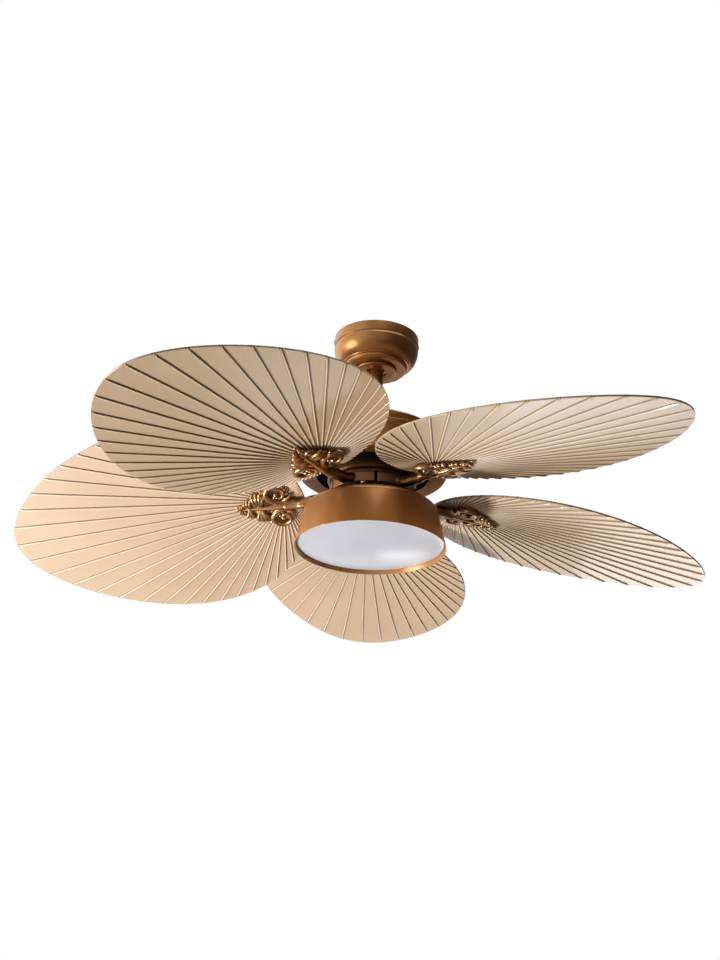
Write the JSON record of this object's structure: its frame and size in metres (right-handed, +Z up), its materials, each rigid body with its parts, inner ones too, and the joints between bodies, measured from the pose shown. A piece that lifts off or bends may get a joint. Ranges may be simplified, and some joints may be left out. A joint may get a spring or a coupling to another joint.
{
  "type": "ceiling fan",
  "caption": "Ball-hung ceiling fan with broad ribbed palm-leaf blades on cast acanthus irons, a bronze motor housing and a drum light.",
  "frame": {"origin": "middle of the ceiling bracket's top face, which lies on the ceiling", "axes": "+Z up out of the ceiling side of the bracket, along the rod and the fan's own axis; +Y points along the first blade"},
  "size_m": [1.2632, 1.2181, 0.4244],
  "materials": {
    "antique_bronze": "satin sprayed antique bronze",
    "cast_bronze": "polished antique bronze on the castings",
    "zinc_plate": "zinc-plated sheet and castings",
    "steel": "turned steel",
    "dark_paint": "dark brown, nearly black, semi-gloss paint",
    "cast_aluminium": "die-cast",
    "lamination": "varnished electrical steel sheets",
    "copper_wire": "enamelled copper winding",
    "palm_blade": "moulded plastic, palm-leaf tan with a soft sheen",
    "opal_lens": "opal white, satin gloss",
    "white_board": "white board and driver case",
    "black_plastic": "moulded black plastic"
  },
  "bodies": {
    "bracket": {"ceiling_bracket": "zinc_plate", "canopy": "antique_bronze", "canopy_cover": "antique_bronze", "canopy_screw_1": "antique_bronze", "canopy_screw_2": "antique_bronze", "remote_receiver": "black_plastic"},
    "hanger": {"hanger_ball": "black_plastic", "ball_pin": "steel", "downrod": "antique_bronze", "coupling": "zinc_plate", "coupling_pin": "steel", "motor_housing": "antique_bronze", "housing_rim": "antique_bronze", "motor_shaft": "steel", "stator_core": "lamination", "stator_winding": "copper_wire", "light_neck": "dark_paint", "shaft_nut": "steel", "drum": "antique_bronze", "drum_plate": "antique_bronze", "led_board": "white_board", "led_driver": "white_board", "lens": "opal_lens"},
    "rotor": {"rotor_upper_case": "dark_paint", "rotor_lower_case": "antique_bronze", "upper_bearing": "steel", "lower_bearing": "steel", "rotor_cage": "cast_aluminium", "flywheel": "antique_bronze", "blade_iron_1": "cast_bronze", "iron_screw_1": "steel", "blade_1": "palm_blade", "blade_screw_1a": "cast_bronze", "blade_screw_1b": "cast_bronze", "blade_screw_1c": "cast_bronze", "blade_iron_2": "cast_bronze", "iron_screw_2": "steel", "blade_2": "palm_blade", "blade_screw_2a": "cast_bronze", "blade_screw_2b": "cast_bronze", "blade_screw_2c": "cast_bronze", "blade_iron_3": "cast_bronze", "iron_screw_3": "steel", "blade_3": "palm_blade", "blade_screw_3a": "cast_bronze", "blade_screw_3b": "cast_bronze", "blade_screw_3c": "cast_bronze", "blade_iron_4": "cast_bronze", "iron_screw_4": "steel", "blade_4": "palm_blade", "blade_screw_4a": "cast_bronze", "blade_screw_4b": "cast_bronze", "blade_screw_4c": "cast_bronze", "blade_iron_5": "cast_bronze", "iron_screw_5": "steel", "blade_5": "palm_blade", "blade_screw_5a": "cast_bronze", "blade_screw_5b": "cast_bronze", "blade_screw_5c": "cast_bronze"}
  },
  "joints": [
    {"name": "hanger_swing", "type": "hinge", "parent": "bracket", "child": "hanger", "pos_m": [0, 0, -0.043], "axis": [1, 0, 0], "range_deg": [-12, 12]},
    {"name": "rotor_spin", "type": "hinge", "parent": "hanger", "child": "rotor", "pos_m": [0, 0, -0.248], "axis": [0, 0, 1], "continuous": true}
  ]
}
